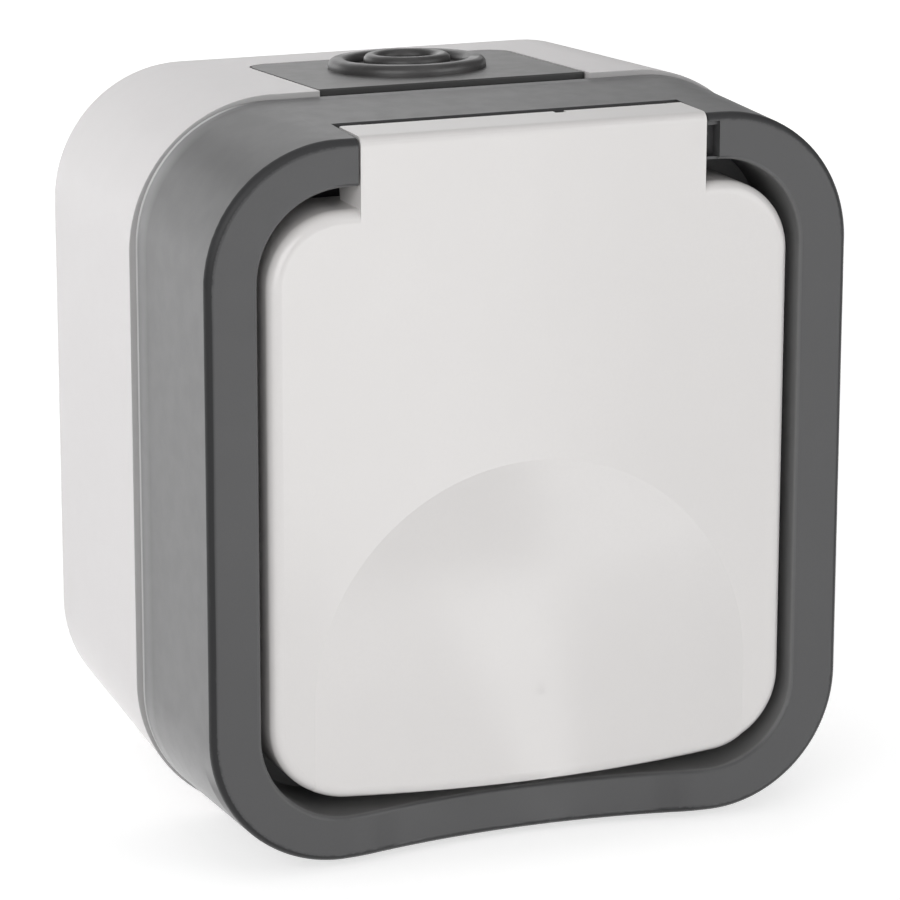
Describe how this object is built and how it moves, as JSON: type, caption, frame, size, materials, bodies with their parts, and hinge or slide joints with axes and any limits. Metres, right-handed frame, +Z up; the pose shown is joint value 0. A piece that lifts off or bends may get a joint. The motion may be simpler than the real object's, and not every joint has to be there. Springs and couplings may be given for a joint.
{
  "type": "outdoor weatherproof socket",
  "caption": "Surface-mounted weatherproof wall socket: box with a top cable grommet, dark front frame and a sprung hinged lid over an earthed round insert.",
  "frame": {"origin": "middle of the flat back face that lies on the wall", "axes": "+Z up, +X to the right seen from the front, the front faces -Y and the wall is towards +Y"},
  "size_m": [0.0772, 0.0599, 0.0837],
  "materials": {
    "housing_light": "fine satin, light warm grey",
    "entry_grey": "satin mid grey",
    "frame_grey": "satin dark grey",
    "lid_white": "fine satin, pale grey white",
    "insert_white": "semi gloss, pale grey white",
    "insert_grey": "plain moulded grey",
    "dark_rubber": "soft matt",
    "steel": "zinc plated, satin",
    "brass": "plain bright"
  },
  "bodies": {
    "housing": {"back_box": "housing_light", "top_entry_plate": "entry_grey", "top_grommet": "dark_rubber", "front_frame": "frame_grey", "frame_gasket": "dark_rubber", "hinge_pin": "steel", "lid_spring": "steel", "socket_cover": "insert_white", "insert_base": "insert_grey", "earth_bracket": "steel", "contact_live": "brass", "contact_neutral": "brass", "terminal_clamps": "brass", "terminal_screws": "steel", "cover_screw": "steel", "insert_screws": "steel", "frame_screws": "steel", "screw_seals": "dark_rubber"},
    "lid_body": {"lid": "lid_white", "lid_gasket": "dark_rubber"}
  },
  "joints": [
    {"name": "lid_hinge", "type": "hinge", "parent": "housing", "child": "lid_body", "pos_m": [0, -0.0533, 0.0371], "axis": [-1, 0, 0], "range_deg": [0, 110], "stiffness_Nm_per_rad": 0.006, "springref_deg": -34.38, "deforming": ["lid_spring"]}
  ]
}
